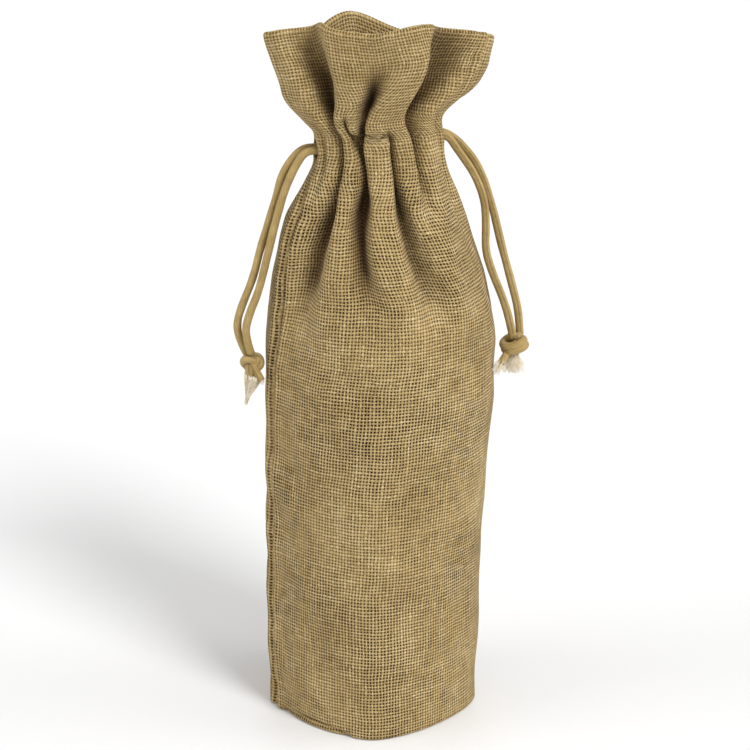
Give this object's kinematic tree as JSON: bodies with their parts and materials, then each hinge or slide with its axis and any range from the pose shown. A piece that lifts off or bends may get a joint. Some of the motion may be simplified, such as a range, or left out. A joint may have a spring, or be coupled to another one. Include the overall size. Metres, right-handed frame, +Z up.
{
  "type": "wine gift bag",
  "caption": "Standing burlap wine gift bag with a gathered neck, a flared header and a knotted drawstring at each side.",
  "frame": {"origin": "centre of the base, on the surface that the bag stands on", "axes": "+Z up, towards the mouth; +X to the bag's right side seam; the front panel faces -Y"},
  "size_m": [0.1313, 0.0928, 0.316],
  "materials": {
    "jute_cloth": "matte open plain-weave jute",
    "sewing_thread": "matte spun thread",
    "cotton_cord": "lightly waxed tan cotton",
    "frayed_cotton": "matte loose cotton fibre"
  },
  "bodies": {
    "bag": {"front_panel": "jute_cloth", "back_panel": "jute_cloth", "front_facing": "jute_cloth", "back_facing": "jute_cloth", "base_panel": "jute_cloth", "base_seam_allowance": "jute_cloth", "left_seam_allowance": "jute_cloth", "right_seam_allowance": "jute_cloth", "left_side_stitches": "sewing_thread", "right_side_stitches": "sewing_thread", "casing_lower_stitches": "sewing_thread", "casing_upper_stitches": "sewing_thread", "base_stitches": "sewing_thread", "left_cord_run": "cotton_cord", "right_cord_run": "cotton_cord"},
    "left_leads": {"left_lead_front": "cotton_cord", "left_lead_back": "cotton_cord"},
    "left_tails": {"left_strand_front": "cotton_cord", "left_strand_back": "cotton_cord", "left_knot": "cotton_cord", "left_cord_end_long": "frayed_cotton", "left_cord_end_short": "frayed_cotton"},
    "right_leads": {"right_lead_front": "cotton_cord", "right_lead_back": "cotton_cord"},
    "right_tails": {"right_strand_front": "cotton_cord", "right_strand_back": "cotton_cord", "right_knot": "cotton_cord", "right_cord_end_long": "frayed_cotton", "right_cord_end_short": "frayed_cotton"}
  },
  "joints": [
    {"name": "left_drawstring_pull", "type": "slide", "parent": "bag", "child": "left_leads", "axis": [-1, 0, 0], "range_m": [0, 0.008]},
    {"name": "left_cord_swing", "type": "hinge", "parent": "left_leads", "child": "left_tails", "pos_m": [-0.03105, 0, 0.2628], "axis": [0, 1, 0], "range_deg": [0, 50]},
    {"name": "right_drawstring_pull", "type": "slide", "parent": "bag", "child": "right_leads", "axis": [1, 0, 0], "range_m": [0, 0.008]},
    {"name": "right_cord_swing", "type": "hinge", "parent": "right_leads", "child": "right_tails", "pos_m": [0.03105, 0, 0.2674], "axis": [0, -1, 0], "range_deg": [0, 50]}
  ]
}
